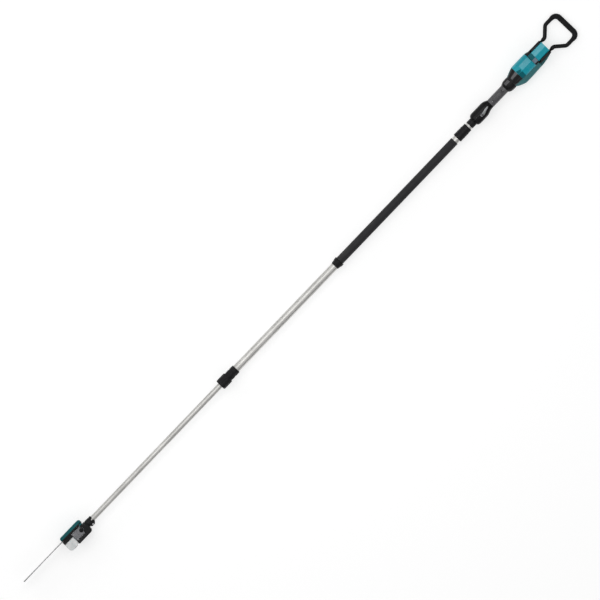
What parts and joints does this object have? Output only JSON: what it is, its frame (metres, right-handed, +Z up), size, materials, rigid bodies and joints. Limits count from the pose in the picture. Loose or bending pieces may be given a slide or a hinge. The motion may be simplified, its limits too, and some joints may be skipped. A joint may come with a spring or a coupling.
{
  "type": "telescoping pole saw",
  "caption": "Battery pole saw with a rear motor housing and guard loop, a grip, a twist-locked telescoping pole and a chain saw head.",
  "frame": {"origin": "centre of the bounding box's base: mid-length of the tool as shown extended, under the pole's centre line, on the floor that it lies on", "axes": "+X along the pole towards the saw's tip, +Y to the user's left, +Z up"},
  "size_m": [3.6269, 0.1612, 0.112],
  "materials": {
    "teal_plastic": "moulded, semi-gloss",
    "flank_plastic": "moulded, textured",
    "head_teal": "moulded, textured",
    "black_plastic": "moulded, fine texture",
    "grey_plastic": "moulded, satin",
    "bush_plastic": "natural acetal",
    "tank_plastic": "translucent natural",
    "rubber": "matte moulded",
    "tube_aluminium": "drawn and anodised",
    "panel_metal": "satin",
    "cast_metal": "die cast, grey painted",
    "steel": "ground and oiled",
    "motor_copper": "lacquered windings"
  },
  "bodies": {
    "handle": {"rear_cap": "teal_plastic", "top_cover": "teal_plastic", "housing_left": "flank_plastic", "housing_right": "flank_plastic", "guard_loop": "black_plastic", "battery_frame": "black_plastic", "battery_rail_left": "black_plastic", "battery_rail_right": "black_plastic", "front_housing": "black_plastic", "grip_collar": "black_plastic", "fore_housing_left": "black_plastic", "fore_housing_right": "black_plastic", "pole_ferrule": "black_plastic", "hanger_collar": "black_plastic", "sleeve_end_ring": "black_plastic", "clamp_neck": "black_plastic", "switch_body": "black_plastic", "terminal_block_left": "grey_plastic", "terminal_block_right": "grey_plastic", "grip_left": "grey_plastic", "grip_right": "grey_plastic", "clamp_collet": "bush_plastic", "loop_bumper": "rubber", "grip_sleeve": "rubber", "outer_tube": "tube_aluminium", "control_panel": "panel_metal", "controller": "panel_metal", "rear_bearing": "steel", "trigger_pin": "steel", "stator": "motor_copper"},
    "lock_barrel": {"lock_barrel": "black_plastic"},
    "trigger": {"trigger": "black_plastic"},
    "lock_lever": {"lock_lever": "black_plastic"},
    "power_button": {"power_button": "grey_plastic"},
    "hanger_ring": {"hanger_ring": "steel"},
    "rotor": {"rotor": "steel", "fan": "black_plastic", "coupling": "steel", "drive_tube": "steel"},
    "drive_rod": {"drive_rod": "steel", "bevel_pinion": "steel"},
    "drive_sprocket": {"bevel_gear": "steel", "drive_sprocket": "steel"},
    "nose_sprocket": {"nose_sprocket": "steel"},
    "bar_nut": {"bar_nut": "steel"},
    "oil_cap": {"oil_cap": "black_plastic"},
    "inner_pole": {"inner_tube": "tube_aluminium", "guide_bush": "bush_plastic", "rod_bush": "bush_plastic", "head_clamp": "black_plastic", "clamp_bolt": "steel", "head_housing": "black_plastic", "gear_case": "cast_metal", "grease_plug": "rubber", "bar_plate": "black_plastic", "guide_bar": "steel", "saw_chain": "steel", "sprocket_cover": "head_teal", "oil_tank": "tank_plastic"}
  },
  "joints": [
    {"name": "pole_slide", "type": "slide", "parent": "handle", "child": "inner_pole", "axis": [1, 0, 0], "range_m": [-0.82, 0.32]},
    {"name": "lock_turn", "type": "hinge", "parent": "handle", "child": "lock_barrel", "pos_m": [0.496, 0, 0.062], "axis": [1, 0, 0], "range_deg": [0, 90]},
    {"name": "trigger_pull", "type": "hinge", "parent": "handle", "child": "trigger", "pos_m": [-1.3005, 0, 0.035], "axis": [0, 1, 0], "range_deg": [0, 9], "stiffness_Nm_per_rad": 0.5, "springref_deg": -20.05},
    {"name": "lever_press", "type": "hinge", "parent": "handle", "child": "lock_lever", "pos_m": [-1.3675, 0, 0.075], "axis": [0, 1, 0], "range_deg": [0, 4], "stiffness_Nm_per_rad": 0.5, "springref_deg": -17.19},
    {"name": "button_press", "type": "slide", "parent": "handle", "child": "power_button", "axis": [0, -0.1908, -0.9816], "range_m": [0, 0.0015], "stiffness_N_per_m": 600, "springref_m": -0.001},
    {"name": "ring_swing", "type": "hinge", "parent": "handle", "child": "hanger_ring", "pos_m": [-1.103, 0, 0.033], "axis": [0, 1, 0], "range_deg": [-80, 80]},
    {"name": "motor_spin", "type": "hinge", "parent": "handle", "child": "rotor", "pos_m": [-1.5195, 0, 0.062], "axis": [1, 0, 0], "continuous": true},
    {"name": "drive_rod_spin", "type": "hinge", "parent": "inner_pole", "child": "drive_rod", "pos_m": [1, 0, 0.062], "axis": [1, 0, 0], "continuous": true},
    {"name": "sprocket_spin", "type": "hinge", "parent": "inner_pole", "child": "drive_sprocket", "pos_m": [1.4615, 0, 0.062], "axis": [0, 1, 0], "continuous": true},
    {"name": "nose_spin", "type": "hinge", "parent": "inner_pole", "child": "nose_sprocket", "pos_m": [1.7911, -0.026, 0.062], "axis": [0, 1, 0], "continuous": true},
    {"name": "nut_turn", "type": "hinge", "parent": "inner_pole", "child": "bar_nut", "pos_m": [1.5065, -0.042, 0.062], "axis": [0, 1, 0], "continuous": true},
    {"name": "cap_turn", "type": "hinge", "parent": "inner_pole", "child": "oil_cap", "pos_m": [1.5295, 0.04, 0.042], "axis": [0, 1, 0], "range_deg": [-90, 0]}
  ],
  "couplings": [
    {"joint": "drive_rod_spin", "follows": "motor_spin", "ratio": 1},
    {"joint": "sprocket_spin", "follows": "motor_spin", "ratio": 0.5},
    {"joint": "nose_spin", "follows": "motor_spin", "ratio": 0.38889}
  ]
}
